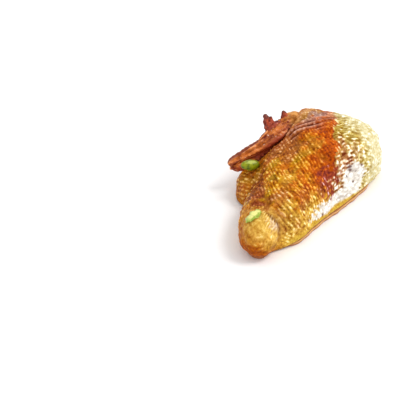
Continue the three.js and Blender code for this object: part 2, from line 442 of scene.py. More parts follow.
def gap_to_limb(points, path, girth):
    """Distance from points to the skin of a limb: the least of the distances to places
    along its path, each less the limb's radius there."""
    share = np.linspace(0, 1, 50)
    radius = np.interp(share, np.linspace(0, 1, len(girth)), girth)
    gap = np.full(points.shape[:-1], 1e3)
    for place, thick in zip(smooth_path(path, share), radius):
        gap = np.minimum(gap, np.linalg.norm(points - place, axis=-1) - thick)
    return gap


# Grid of the skin: poles at both ends, dense outside, coarse over the hidden sole.
theta = even_turns(SKIN_RINGS, REACH[0], REACH[1])[1:-1]
outside = np.linspace(SOLE_ANGLE, 2 * np.pi - SOLE_ANGLE, SIDES_OUTSIDE, endpoint=False)
under = np.linspace(-SOLE_ANGLE, SOLE_ANGLE, SIDES_SOLE, endpoint=False)
phi = np.concatenate((under, outside))
lines = np.stack(np.broadcast_arrays(
    -np.cos(theta)[:, None],
    -np.sin(theta)[:, None] * np.sin(phi),
    -np.sin(theta)[:, None] * np.cos(phi),
), -1) * REACH
skin = outermost(HEART, lines, body_distance)
poles = outermost(HEART, np.array([(-1.0, 0, 0), (1.0, 0, 0)]) * REACH, body_distance)

# Lengths over the skin: along it from knee to breast, and around it from its top, negative
# on the breastbone side and positive on the back.
along = np.cumsum(np.linalg.norm(np.diff(skin, axis=0, prepend=skin[:1]), axis=-1), 0)
along *= along[-1].mean() / along[-1]
around = np.cumsum(np.linalg.norm(np.diff(skin, axis=1, prepend=skin[:, :1]), axis=-1), 1)
top = np.argmin(np.abs(phi - np.pi))
around -= around[:, top:top + 1]

# Places, widths and noise sizes from here on are mm, and each zone is a share from 0 to 1.
x, y, z = skin[..., 0], skin[..., 1], skin[..., 2]
rough = wave_noise(skin, 14, 1)
fine = wave_noise(skin, 6, 2)
broad = wave_noise(skin, 34, 3)

# Rows of bumps run round the bird. They lean along it by one share on the breastbone side
# of the ridge and by another behind it, and turn softly by width * log(1 + exp(past_ridge)).
lean = THIGH_LEAN + (BREAST_LEAN - THIGH_LEAN) * smooth_step(80, 200, along)
back_lean = BACK_LEAN * smooth_drop(150, 220, along)
past_ridge = (around - RIDGE) / RIDGE_WIDTH
turning = lean * around - (lean + back_lean) * RIDGE_WIDTH * np.log1p(np.exp(past_ridge))
row = (along + turning) / ROW_GAP + ROW_WAVER * wave_noise(skin, 26, 4)
dot = around / DOT_GAP + ROW_WAVER * wave_noise(skin, 26, 6)

# Past a line over the breast, which slants forward above and behind, the skin is pale.
# Bumps lie along their rows, but more nearly along the bird where it is pale.
beyond = (x - 79 - 0.83 * np.clip(z - 42, 0, 60) - 1.9 * np.clip(y - 22, 0, 80)) / 1.4
beyond += 1.6 * rough + 0.8 * fine
for push, centre, radii, edge in PALE_LINE_BENDS:
    beyond -= push * spot(skin, centre, radii, edge=edge)
along_skin = unit(np.gradient(skin, axis=0))
round_skin = unit(np.roll(skin, -1, 1) - np.roll(skin, 1, 1))
over_ridge = 1 / (1 + np.exp(-past_ridge))
lie = round_skin - (lean - (lean + back_lean) * over_ridge)[..., None] * along_skin
lie += smooth_step(-1.5, 2.0, beyond)[..., None] * (along_skin - 0.45 * round_skin - lie)
bump, pit, drawn = goose_bumps(skin, row, dot, unit(lie), 8)

# Fine lines: ripples that slant over the pale skin, and in the roasted skin streaks along
# the rows, which swell a little too. The swell ends before the blunt end of the breast.
streak = wave_noise(np.stack((row * ROW_GAP, dot * DOT_GAP * 0.3, 0 * along), -1), 3.6, 5)
ripple = wave_noise(np.stack((along * 0.5, around + 0.6 * along, 0 * along), -1), 3.3, 7)
pale = smooth_step(-2.5, 2.5, beyond + 3.5 * (bump - 0.5 * pit) + 0.7 * ripple)
roasted = 1 - pale
row_swell = -np.cos(2 * np.pi * row) * roasted * smooth_drop(148, 172, x)

# Pale skin: washed out round the blunt end and golden again behind it, yellow along its
# upper border, and speckled brown along its lower one, where the glare gives way.
blanched = (smooth_step(130, 150, x + 2 * rough) * smooth_step(4, 12, z)
            * smooth_drop(66, 82, z) * smooth_drop(40, 60, y))
front_line = x + 0.5 * y - 0.15 * z + 2.5 * wave_noise(skin, 30, 13) + 2 * rough
toasted = 0.9 * smooth_step(168, 200, front_line)
fringe = smooth_drop(3, 20, beyond + 2 * fine) * pale * smooth_step(52, 60, z)
fringe = np.maximum(fringe, 0.9 * spot(skin, (134, 4, 64), (12, 9, 11), 0.25 * fine))
border = smooth_drop(4, 12, beyond) * pale * smooth_step(20, 32, z) * smooth_drop(14, 26, y)
border = np.maximum(border, spot(skin, (96, 1, 55), (10, 10, 9), 0.2 * fine, edge=0.8) * pale)
speckled = np.maximum.reduce([
    spot(skin, (98, 4, 54), (13, 14, 13), 0.2 * fine, edge=0.8) * pale, 0.9 * border,
    0.6 * spot(skin, (116, 1, 59), (14, 9, 10), 0.3 * fine) * pale])

# Glare: light off the wet skin low on the breastbone side, a band that the pores break up.
# Under its foot a smooth yellow strip goes down to the cut. The thigh is light with fat there.
near_side = smooth_drop(8, 16, y)
band_top = 28 + 28 * smooth_step(70, 92, x) - 0.4 * np.clip(x - 98, 0, 60) + 2 * rough + fine
band_foot = 11.2 - 0.1 * np.clip(x - 95, 0, 60) + 0.35 * wave_noise(skin, 24, 10) + 0.25 * fine
glare = (smooth_step(-1.5, 2.5, z - band_foot) * smooth_drop(-7, 5, z - band_top)
         * smooth_step(20, 48, x + 3 * fine) * smooth_drop(114, 138, x + 2 * fine)
         * np.maximum(pale, smooth_drop(24, 34, z + rough)) * near_side
         * (0.62 + 0.38 * smooth_step(48, 84, x)))
glare *= 1 - 0.75 * border
glare = smooth_step(0.25, 0.75, glare + 2.4 * glare * (1 - glare) * (bump - 0.6 * pit + 0.12 * ripple))
strip = (smooth_drop(-1.5, 2.5, z - band_foot) * smooth_step(-8, 6, x) * near_side
         * smooth_drop(130, 144, x))
fatty = (smooth_step(-20, -4, x) * smooth_drop(48, 74, x) * smooth_drop(26, 42, z + 3 * rough)
         * smooth_drop(10, 22, y))

# Knee: a smooth light knob whose rim and low end are browned and darkened by painted shade,
# a painted highlight along a light tendon, and a crease and small folds where it meets the thigh.
knob = spot(skin, (-26, 26, 30), (22, 26, 22), 0.12 * rough, turn=33, edge=0.6)
knob_front = spot(skin, (-25, 18, 34), (21, 22, 18), 0.12 * fine, turn=33, edge=1.3)
knob_end = spot(skin, (-42, 22, 8), (18, 26, 17), 0.1 * fine, edge=0.7)
# The knob's rim and low end: browned, and darkened with painted shade.
knob_rim_browning_and_shade = np.maximum(knob * (1 - knob_front), knob_end) * smooth_step(3, 15, y - 0.3 * (z - 20))
# A painted highlight along the tendon beside the crease.
knee_highlight = spot(skin, (-18.5, 14, 33), (4.5, 6, 10), 0.4 * fine, edge=1.2)
crease_line = x + 12 - 0.25 * (z - 30) * (z < 30)
crease = bell(crease_line, CREASE_WIDTH) * smooth_drop(22, 32, y) * smooth_step(12, 28, z)
fold_share = spot(skin, (2, 13, 32), (16, 12, 14), edge=0.8) * smooth_step(-14, -8, x)
fold_place = (0.99 * x - 0.52 * y + 0.88 * z) / FOLD_GAP
knee_folds = fold_share * np.sin(2 * np.pi * fold_place + 0.5 * fine)

# Colours of the roast: burnt orange up to the line of the pale skin, purple low beside it,
# clumps of orange and olive, patches of rust, amber and brown, a lighter reddish patch with a
# painted highlight, and painted shade in the hollows by the wing and the knee.
ahead = (x - z - 43 - 0.55 * np.clip(y - 18, 0, 80)) / np.sqrt(2) + 4 * rough
burnt = smooth_step(-38, -18, ahead) * roasted * smooth_step(32, 48, z)
purple = np.maximum(0.9 * spot(skin, (75, 5, 41), (13, 12, 15), 0.3 * fine, edge=0.7),
                    0.35 * spot(skin, (63, 6, 36), (7, 6, 6), 0.3 * fine)) * roasted
clump = wave_noise(skin, 15, 9)
mottled = 0.8 * smooth_step(0.4, 1.8, clump + 0.5 * fine) * roasted * (1 - knob)
olive = 0.8 * smooth_step(0.2, 1.4, 0.4 * fine - clump) * roasted * (1 - knob)
rusty = strongest(skin, RUSTY_PATCHES, 0.25 * fine) * roasted
amber = strongest(skin, AMBER_PATCHES, 0.25 * fine)
browned = np.maximum.reduce([
    0.85 * spot(skin, (84, 66, 64), (36, 14, 18), 0.15 * rough, turn=-15, edge=0.7),
    0.8 * spot(skin, (74, 52, 65), (15, 12, 12), 0.3 * rough, turn=-15),
    0.35 * spot(skin, (52, 76, 44), (26, 10, 16), 0.15 * rough, turn=-40, edge=0.8)])
# A lighter reddish patch above the knee, with a painted highlight on it.
reddish_highlight_patch = 0.5 * spot(skin, (12, 26, 45), (9, 8, 9), 0.3 * fine, turn=20, edge=0.8)
golden = spot(skin, (130, 71, 74), (22, 11, 10), 0.15 * rough, turn=-15, edge=0.8)
# Painted shade along the valley beside the wing, on the low back of the hip and in the hollows above
# the knee; the last, weak patch browns the crown.
shade_and_browning = np.maximum.reduce([
    0.7 - 0.7 * smooth_step(0, 4, gap_to_limb(skin, VALLEY_PATH, VALLEY_GIRTH) + fine),
    0.4 * smooth_step(56, 66, y - 0.2 * x) * smooth_drop(62, 80, x) * smooth_drop(30, 44, z),
    0.9 * spot(skin, (22, 60, 38), (30, 8, 14), 0.3 * rough, turn=35),
    spot(skin, (-2, 45, 40), (12, 7, 9), 0.3 * rough, turn=35),
    0.6 * spot(skin, (4, 35, 43), (9, 7, 7), 0.3 * rough),
    0.3 * spot(skin, (126, 46, 76), (16, 9, 8), 0.3 * fine, turn=-25)])

# Marks of the wing: the groove under the forearm with its light rim, and by the wing's root
# wrinkles and a greyish sheen.
forearm_gap = gap_to_limb(skin, FOREARM_PATH, FOREARM_GIRTH)
groove = (bell(np.maximum(forearm_gap, 0), GROOVE_WIDTH) * smooth_step(30, 40, z)
          * (1 - 0.85 * smooth_step(SHOULDER_FROM, SHOULDER_TO, x)))
lit_rim = bell(forearm_gap - RIM_GAP - fine, RIM_WIDTH) * smooth_step(36, 44, z)
wrinkle_place = (0.6 * (x - 115) + 0.75 * (y - 55)) / WRINKLE_GAP + 0.14 * rough + 0.05 * fine
wrinkle = np.sin(2 * np.pi * wrinkle_place)
wrinkle_share = np.maximum(
    spot(skin, (107, 60, 73), (22, 12, 14), 0.12 * rough, turn=-40, edge=0.6),
    0.35 * spot(skin, (131, 50, 77), (16, 8, 9), 0.12 * rough, turn=-40, edge=0.7))
sheen = np.maximum(
    0.8 * spot(skin, (138, 59, 77), (10, 7, 8), 0.2 * fine, turn=-35, edge=0.8),
    0.5 * spot(skin, (123, 61, 76), (9, 6, 7), 0.25 * fine, turn=-35))
# Painted highlights on the tops of the wrinkles.
ridge_highlights = wrinkle_share * smooth_step(0.2, 1.0, wrinkle + 0.4 * fine)
# Painted shade in the wrinkles' furrows, the groove under the forearm, the crease and the knee's
# folds.
furrow_shade = np.maximum.reduce([
    wrinkle_share * smooth_step(-0.1, 0.7, -wrinkle), groove, 0.95 * crease,
    0.45 * smooth_step(0.1, 0.9, knee_folds)])

# Relief, outwards in mm.
normals = grid_normals(skin, HEART)
outside_only = smooth_step(5, 10, z)
pore_share = (outside_only * (1 - 0.4 * knob) * (1 - strip) * (1 - 0.8 * wrinkle_share)
              * (1 - 0.6 * knob_rim_browning_and_shade))
grain_lines = ((streak + row_swell) * roasted * (1 - glare)
               + ripple * pale * (1 - 0.75 * glare) * (1 - toasted))
relief = (BUMP_HEIGHT * bump - PORE_DEPTH * pit + LINE_HEIGHT * grain_lines) * pore_share
relief += (UNEVEN_BROAD * broad + UNEVEN_ROUGH * rough + UNEVEN_FINE * fine) * outside_only
relief += WRINKLE_HEIGHT * wrinkle_share * wrinkle - FOLD_HEIGHT * knee_folds - GROOVE_DEPTH * groove
crease_rim = bell(crease_line - CREASE_RIM_PLACE, CREASE_RIM_WIDTH) * knob
relief += CREASE_RIM_HEIGHT * crease_rim - CREASE_DEPTH * crease
roll = ROLL_HEIGHT * bell(z - ROLL_LEVEL, ROLL_WIDTH) - NIP_DEPTH * bell(z - band_foot - 1, NIP_WIDTH)
relief += roll * near_side * smooth_step(-10, 4, x)
raised_skin = skin + normals * relief[..., None]


class Wire:
    """An output socket of a shader node. Arithmetic on it adds Math nodes."""

    def __init__(self, finish, socket):
        self.finish = finish
        self.socket = socket

    def math(self, operation, *values, clamp=False):
        """A Math node on numbers and other wires."""
        settings = {"operation": operation, "use_clamp": clamp}
        return self.finish.node("ShaderNodeMath", settings, dict(enumerate(values)))

    def __add__(self, other):
        return self.math("ADD", self, other)

    def __sub__(self, other):
        return self.math("SUBTRACT", self, other)

    def __rsub__(self, other):
        return self.math("SUBTRACT", other, self)

    def __mul__(self, other):
        return self.math("MULTIPLY", self, other)

    __radd__ = __add__
    __rmul__ = __mul__

    def clamped(self):
        """The same number, kept between 0 and 1."""
        return self.math("ADD", self, 0.0, clamp=True)


class Finish:
    """A material with one Principled shader. Constants go straight onto its sockets."""

    def __init__(self, name, **constants):
        self.material = bpy.data.materials.new(name)
        self.material.use_nodes = True
        self.tree = self.material.node_tree
        self.shader = self.tree.nodes["Principled BSDF"]
        for key, value in constants.items():
            self.shader.inputs[key.replace("_", " ")].default_value = value

    def node(self, kind, settings=None, sockets=None, output=0):
        """Adds a node: first its settings, then the value or link of each socket."""
        made = self.tree.nodes.new(kind)
        for key, value in (settings or {}).items():
            setattr(made, key, value)
        for key, value in (sockets or {}).items():
            if isinstance(value, Wire):
                self.tree.links.new(value.socket, made.inputs[key])
            else:
                made.inputs[key].default_value = value
        return Wire(self, made.outputs[output])

    def feed(self, key, wire):
        """Links a wire to a socket of the shader."""
        self.tree.links.new(wire.socket, self.shader.inputs[key])

    def mask(self, name, output="Fac"):
        """A number, or with output Vector a place, that the mesh carries at its points."""
        return self.node("ShaderNodeAttribute", {"attribute_name": name}, output=output)

    def noise(self, size, detail, vector=None):
        """Noise of 0 to 1, in clumps of about the given size in mm over object places."""
        if vector is None:
            vector = self.node("ShaderNodeTexCoord", output="Object")
        sockets = {"Vector": vector, "Scale": 1 / (size * MM), "Detail": detail,
                   "Roughness": 0.55}
        return self.node("ShaderNodeTexNoise", None, sockets)

    def blend(self, share, first, second):
        """A colour part of the way from the first to the second."""
        sockets = {0: share, 6: first, 7: second}
        return self.node("ShaderNodeMix", {"data_type": "RGBA"}, sockets, output=2)

    def bump(self, height, depth):
        """Feeds a bump whose height of 1 stands for the given depth in mm."""
        sockets = {"Height": height, "Distance": depth * MM, "Strength": 1.0}
        self.feed("Normal", self.node("ShaderNodeBump", None, sockets))


def colour(red, green, blue):
    """Screen values of 0 to 255 as the linear numbers of a shader: ((c + .055) / 1.055)^2.4."""
    c = np.array((red, green, blue)) / 255
    linear = np.where(c > 0.04045, ((c + 0.055) / 1.055) ** 2.4, c / 12.92)
    return (*linear.tolist(), 1.0)


SKIN_COLOURS = [  # zone, its colours in the pores and on the skin, and its painted highlight on the bump tips
    ("ochre", (120, 54, 0), (224, 144, 8), (251, 210, 84)),
    ("mottled", (104, 36, 0), (212, 110, 12), (240, 172, 60)),
    ("olive", (112, 74, 0), (214, 162, 24), (250, 224, 124)),
    ("burnt", (104, 22, 0), (216, 98, 0), (248, 162, 38)),
    ("fatty", (146, 86, 8), (236, 191, 76), (253, 234, 160)),
    ("pale", (150, 116, 30), (236, 221, 150), (255, 255, 252)),
    ("fringe", (138, 96, 6), (219, 191, 78), (251, 240, 184)),
    ("blanched", (200, 180, 116), (234, 230, 196), (248, 250, 240)),
    ("toasted", (136, 64, 2), (226, 148, 34), (252, 218, 120)),
    ("speckled", (112, 42, 10), (198, 138, 80), (253, 234, 206)),
    ("glare", (122, 98, 92), (238, 231, 218), (255, 255, 252)),
    ("strip", (164, 108, 16), (226, 192, 72), (248, 232, 144)),
    ("rusty", (96, 28, 0), (178, 84, 12), (226, 156, 76)),
    ("amber", (150, 98, 16), (236, 186, 66), (254, 236, 160)),
    ("purple", (84, 18, 26), (176, 74, 46), (236, 196, 204)),
    ("browned", (92, 32, 6), (190, 106, 42), (240, 186, 136)),
    ("reddish_highlight_patch", (140, 56, 12), (232, 158, 78), (255, 236, 210)),
    ("knob", (180, 120, 24), (238, 199, 96), (255, 240, 184)),
    ("knob_rim_browning_and_shade", (124, 48, 0), (190, 98, 2), (222, 144, 18)),
    ("knee_highlight", (180, 130, 84), (244, 222, 186), (255, 250, 240)),
    ("shade_and_browning", (78, 22, 4), (156, 72, 22), (208, 128, 72)),
    ("golden", (108, 62, 16), (192, 130, 52), (240, 200, 132)),
    ("sheen", (130, 84, 76), (194, 160, 148), (236, 218, 220)),
    ("lit_rim", (156, 84, 36), (232, 170, 106), (252, 218, 172)),
    ("ridge_highlights", (170, 96, 72), (236, 182, 152), (255, 236, 226)),
    ("furrow_shade", (64, 16, 10), (116, 42, 26), (156, 76, 48)),
]

# Ochre lies under everything, and each zone's colours over those of the zones before it. The colour
# goes from pit to skin to the painted highlight on bump tips with the pores, broken up by clumps and
# grain.
skin_finish = Finish("roast_skin", Specular_IOR_Level=0.05, Coat_Roughness=0.2, Coat_IOR=1.5)
pores = skin_finish.mask("pores")
clumps = skin_finish.noise(9, 4)
grain = skin_finish.noise(2.2, 3)
speckle = (grain - 0.5) * (1 - skin_finish.mask("glare") * 0.7)
light_share = (0.5 + pores * 0.5 + (clumps - 0.5) * 1.2 + speckle * 1.8).clamped()
# How much each point takes of the painted highlight on the bump tips.
tip_highlight_share = ((pores - 0.5) * 1.3 + speckle * 3.0 + (clumps - 0.5)).clamped()
tones = [colour(*ochre) for ochre in SKIN_COLOURS[0][1:]]
for zone, *zone_tones in SKIN_COLOURS[1:]:
    share = skin_finish.mask(zone)
    tones = [skin_finish.blend(share, tone, colour(*over)) for tone, over in zip(tones, zone_tones)]
pit_tone, skin_tone, tip_highlight_tone = tones
whole_tone = skin_finish.blend(light_share, pit_tone, skin_tone)
skin_finish.feed("Base Color", skin_finish.blend(tip_highlight_share, whole_tone, tip_highlight_tone))
skin_finish.feed("Roughness", 0.34 + clumps * 0.25)
greasy = (pores - 0.15) * 0.6 + (clumps - 0.5) * 0.8 + skin_finish.mask("glare") * 0.2
greasy = greasy * (1 - skin_finish.mask("knob_rim_browning_and_shade") * 0.9) * (1 - skin_finish.mask("burnt") * 0.8)
skin_finish.feed("Coat Weight", greasy.clamped())
skin_finish.bump(pores * 0.4 + grain * 0.6 + skin_finish.noise(0.9, 2) * 0.3, 0.35)

# What the mesh tells the finish: the zones, and the pores, which stand for how light the
# bumps make each point and so how much painted highlight their tips take. In the glare the lowest
# bumps are dark dots instead.
zones = dict(
    mottled=mottled, olive=olive, burnt=burnt, fatty=fatty, pale=pale, fringe=fringe,
    blanched=blanched, toasted=toasted, speckled=speckled, glare=glare, strip=strip,
    rusty=rusty, amber=amber, purple=purple, browned=browned, reddish_highlight_patch=reddish_highlight_patch, knob=knob,
    knob_rim_browning_and_shade=knob_rim_browning_and_shade, knee_highlight=knee_highlight, shade_and_browning=shade_and_browning, golden=golden, sheen=sheen,
    lit_rim=lit_rim, ridge_highlights=ridge_highlights, furrow_shade=furrow_shade)
dark_dots = glare * (drawn < 0.24 + 0.1 * smooth_step(84, 102, x) * smooth_step(28, 44, z))
lightness = (bump * (1 - 2.7 * dark_dots / drawn) - 0.5 * (1 - glare) * pit
             + (0.16 + 0.32 * pale) * grain_lines * (1 - 0.6 * blanched)
             + 0.5 * (drawn - 0.6) + 0.5 * glare - 0.1 * pale)
contrast = 1 + 0.4 * (pale + fatty) * (1 - glare) - 0.4 * toasted
skin_piece = closed_piece(
    "skin", raised_skin, skin_finish.material, poles[0], poles[1],
    {"pores": lightness * contrast * pore_share, **zones})
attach(skin_piece, "root")
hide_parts("duck")

# ---- Meat of the cut -----------------------------------------------------------------------
# The browned meat and bone that the bird rests on. It is a flat slab a little smaller than
# the skin round it, but along the breastbone its tan edge shows as a lip under the skin.

MEAT_LEVEL = 4.4
MEAT_INSET = 3.5              # it lies this far inside the skin
EDGE_LIP = 4.3                # but its breastbone edge stands out further by this, along the
LIP_SHIFT = 8                 # cut side moved by this towards the blunt end
MEAT_UNEVEN = 0.25
MEAT_SIDES = 240
MEAT_PROFILE = np.array([  # share of the outline, height as a share of the level
    (0.3, 1.0), (0.6, 1.0), (0.9, 1.0), (0.985, 0.98), (0.997, 0.86), (1.0, 0.7), (1.0, 0.5),
    (0.997, 0.3), (0.99, 0.12), (0.97, 0.0), (0.6, 0.0), (0.3, 0.0)])


def full_turn(sides):
    """Angles of evenly spaced sides, all the way round."""
    return np.linspace(0, 2 * np.pi, sides, endpoint=False)


def lip_share(points):
    """1 where the tan edge shows: the cut side, moved by its shift."""
    return cut_side(points[..., 0] - LIP_SHIFT, points[..., 1])


def meat_distance(points):
    """Distance to the outline of the slab: that of the skin, less the inset and the lip."""
    return body_distance(points) + MEAT_INSET - EDGE_LIP * lip_share(points)


angles = full_turn(MEAT_SIDES)
rays = np.stack((np.cos(angles) * REACH[0], np.sin(angles) * REACH[1], 0 * angles), -1)
flat_heart = np.array((HEART[0], HEART[1], SOLE_LEVEL + CUT_LIFT + SOLE_ROUND + 1))
outline = outermost(flat_heart, rays, meat_distance)
share_out = MEAT_PROFILE[:, 0][:, None, None]
height_up = MEAT_PROFILE[:, 1][:, None]
meat = flat_heart + (outline - flat_heart) * share_out
meat[..., :2] += MEAT_UNEVEN * wave_noise(meat, 15, 11)[..., None] * (share_out > 0.9)
meat[..., 2] = height_up * (MEAT_LEVEL + MEAT_UNEVEN * wave_noise(meat, 13, 12))
meat_height = meat[..., 2]
lip = lip_share(meat) * smooth_step(1.9, 2.7, meat_height) * smooth_drop(3.6, 4.2, meat_height)

meat_finish = Finish("browned_meat", Roughness=0.5, Specular_IOR_Level=0.4)
fibres = meat_finish.noise(3, 4)
meat_tone = meat_finish.blend(fibres, colour(96, 40, 16), colour(206, 128, 70))
meat_tone = meat_finish.blend(meat_finish.mask("lip"), meat_tone, colour(214, 164, 102))
meat_finish.feed("Base Color", meat_tone)
meat_finish.bump(fibres, 0.8)
meat_piece = closed_piece(
    "cut_meat", meat, meat_finish.material,
    (HEART[0], HEART[1], MEAT_LEVEL), (HEART[0], HEART[1], 0), {"lip": lip})
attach(meat_piece, "root")
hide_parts("duck")

# ---- Folded wing ---------------------------------------------------------------------------
# Two bones under thin dark skin: the forearm lies along the top of the back, and the upper
# arm under it on the far side, with a web of skin between them and a thick root at the
# shoulder. The skin has shrunk on the bones into lengthwise wrinkles.

UPPER_ARM_PATH = [(54, 115, 31), (74, 108, 28), (96, 99, 27), (122, 84, 30)]
UPPER_ARM_GIRTH = [5, 8.5, 12, 15]
WEB_PATH = [(60, 115, 31), (78, 106, 35), (98, 97, 40), (122, 86, 44)]
WEB_GIRTH = [3, 8, 12, 15]
ROOT_PATH = [(84, 100, 50), (98, 95, 57), (112, 91, 60), (126, 85, 61), (140, 78, 60)]
ROOT_GIRTH = [4, 7.5, 9.5, 10.5, 11]
WING_PARTS = [  # name, path, radii on the way, thickness as a share, where it faces, seed
    ("wing_forearm", FOREARM_PATH, FOREARM_GIRTH, 1.0, (0, 0, 1), 20),
    ("wing_upper_arm", UPPER_ARM_PATH, UPPER_ARM_GIRTH, 1.0, (0, 0, 1), 30),
    ("wing_web", WEB_PATH, WEB_GIRTH, 0.6, (0.35, 0.8, 0.3), 40),
    ("wing_root", ROOT_PATH, ROOT_GIRTH, 0.75, (-0.3, -0.6, 0.6), 50),
]
WING_RINGS = 150
WING_SIDES = 110
STRAND_STRETCH = 0.14         # lengths along the wing count this much in its wrinkles,
STRAND_RING = 7.0             # and its girth as a circle of this radius
WING_FOLDS = 0.9              # depths of its wrinkles, of its swellings
WING_BULGES = 0.5
WING_LUMPS = 0.2              # and of the small lumps of its skin
FAR_UP = (-0.1, 0.8, 0.6)     # the side of the wing that is turned this way takes painted shade


def limb(path, girth, rings, sides, flat, facing):
    """A ball drawn out along a path, so that both its ends are closed: polar angle w goes to
    the share u = (1 - cos w) / 2 of the path, with the radius girth(u) sqrt(sin w) there.
    Flat is its thickness, in the facing direction, as a share of its width. Gives the grid,
    both poles, u and the place across the width, -1 to 1."""
    w = np.linspace(0, np.pi, rings + 1)[1:-1]
    u = (1 - np.cos(w)) / 2
    radius = np.interp(u, np.linspace(0, 1, len(girth)), girth) * np.sqrt(np.sin(w))
    middle = smooth_path(path, u)
    tangent = unit(smooth_path(path, u + 0.01) - smooth_path(path, u - 0.01))
    side = unit(np.cross(facing, tangent))
    top = np.cross(tangent, side)
    turn = full_turn(sides)[None, :, None]
    spread = side[:, None] * np.cos(turn) + top[:, None] * np.sin(turn) * flat
    grid = middle[:, None] + spread * radius[:, None, None]
    size = grid.shape[:2]
    return (grid, path[0], path[-1], np.broadcast_to(u[:, None], size),
            np.broadcast_to(np.cos(turn[..., 0]), size))


# Streaks along the wing with painted glints and pale specks of painted glint on it, then painted shade
# in the folds, the tan skin of the shoulder, and painted shade on the far edge, on the underside and
# in the crevice against the body.
wing_finish = Finish("wing_skin", Specular_IOR_Level=0.15, Coat_Roughness=0.2)
strands = wing_finish.mask("strands", "Vector")
streaks = wing_finish.noise(5, 4, strands)
blotch = wing_finish.noise(7, 4)
wing_share = (0.62 + (streaks - 0.5) * 3.4 + (blotch - 0.5) * 2.0).clamped()
wing_glint = ((streaks - 0.58) * 3.0 + (blotch - 0.5) * 3.0).clamped()
wing_tone = wing_finish.blend(wing_share, colour(108, 26, 6), colour(236, 138, 60))
wing_tone = wing_finish.blend(wing_glint, wing_tone, colour(252, 204, 156))
# Painted shade in the sunken folds.
wing_tone = wing_finish.blend(wing_finish.mask("folds"), wing_tone, colour(108, 28, 14))
tan_tone = wing_finish.blend(wing_share, colour(140, 74, 20), colour(226, 162, 84))
wing_tone = wing_finish.blend(wing_finish.mask("tanned"), wing_tone, tan_tone)
wing_tone = wing_finish.blend(wing_finish.mask("far_side_shade"), wing_tone, colour(112, 44, 32))
# Pale specks of painted glint.
glint_specks = ((wing_finish.noise(2.6, 2) - 0.66) * 8.0).clamped()
wing_tone = wing_finish.blend(glint_specks, wing_tone, colour(252, 214, 190))
wing_tone = wing_finish.blend(wing_finish.mask("underside_shade"), wing_tone, colour(168, 74, 48))
wing_tone = wing_finish.blend(wing_finish.mask("crevice_shade"), wing_tone, colour(92, 26, 16))
wing_finish.feed("Base Color", wing_tone)
wing_finish.feed("Roughness", 0.32 + blotch * 0.3)
wing_finish.feed("Coat Weight", ((blotch - 0.4) * 1.2 * (1 - wing_finish.mask("crevice_shade"))).clamped())
wing_finish.bump(streaks + wing_finish.noise(1.6, 3) * 0.6, 0.7)

limb_turn = full_turn(WING_SIDES)
for name, path, girth, flat, facing, seed in WING_PARTS:
    grid, first, last, u, _ = limb(path, girth, WING_RINGS, WING_SIDES, flat, facing)
    out = grid_normals(grid, grid.mean((0, 1)))
    length = np.linalg.norm(np.subtract(path[0], path[-1]))
    strand_place = np.stack(np.broadcast_arrays(
        u * length * STRAND_STRETCH,
        np.cos(limb_turn) * STRAND_RING,
        np.sin(limb_turn) * STRAND_RING), -1)
    folds = wave_noise(strand_place, 7, seed)
    bulge = wave_noise(grid, 26, seed + 1)
    lumps = wave_noise(grid, 4, seed + 2)
    taper = np.sqrt(np.clip(u * (1 - u) * 30, 0, 1))
    push = (WING_FOLDS * folds + WING_BULGES * bulge + WING_LUMPS * lumps) * taper
    grid = grid + out * push[..., None]
    clearance = body_distance(grid) + 0.6 * lumps
    turned_up = smooth_step(0.2, 0.7, out[..., 2])
    tanned = smooth_step(SHOULDER_FROM, SHOULDER_TO, grid[..., 0] + 2 * folds)
    # The far edge, the underside and the crevice against the body take painted shade.
    piece = closed_piece(
        name, grid, wing_finish.material, first, last,
        {"strands": strand_place * MM, "folds": 0.8 * smooth_step(0.5, 1.4, -folds),
         "crevice_shade": smooth_drop(-0.5, 2.5, clearance) * (1 - tanned), "tanned": tanned,
         "far_side_shade": 0.8 * smooth_step(0.6, 0.95, out @ FAR_UP + 0.1 * lumps) * (1 - tanned),
         "underside_shade": smooth_drop(4, 11, clearance) * (1 - 0.85 * turned_up) * (1 - tanned)})
    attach(piece, "root")
    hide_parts("duck")

# ---- Torn wing tips ------------------------------------------------------------------------
# Rags of skin and sinew where the wing's hand was torn off: three stand up, and two lie along
# the wing at their feet. They are flat and ragged, and burnt nearly black at their points.

RAG_FACING = (-0.55, -0.75, 0.15)      # the flat side of the rags
RAG_RINGS = 80
RAG_SIDES = 50
PLEAT_STRETCH = 0.3           # lengths along a rag count this much in its pleats,
PLEAT_SPREAD = 5              # and half its width as this

rag_finish = Finish("torn_skin", Specular_IOR_Level=0.4)
strands = rag_finish.mask("strands", "Vector")
shreds = rag_finish.noise(4, 4, strands)
flecks = rag_finish.noise(2.4, 3)
rag_share = (0.5 + (shreds - 0.5) * 2.6 + (flecks - 0.5) * 1.4).clamped()
rag_tone = rag_finish.blend(rag_share, colour(86, 12, 10), colour(194, 82, 46))
# Pinkish painted highlights on the lightest flecks.
rag_tone = rag_finish.blend(((flecks - 0.6) * 4.0).clamped(), rag_tone, colour(240, 160, 140))
rag_tone = rag_finish.blend(rag_finish.mask("burnt_end_and_shade"), rag_tone, colour(50, 16, 18))
rag_finish.feed("Base Color", rag_tone)
rag_finish.feed("Roughness", 0.35 + flecks * 0.3)
rag_finish.bump(shreds + rag_finish.noise(1.2, 2) * 0.5, 0.8)

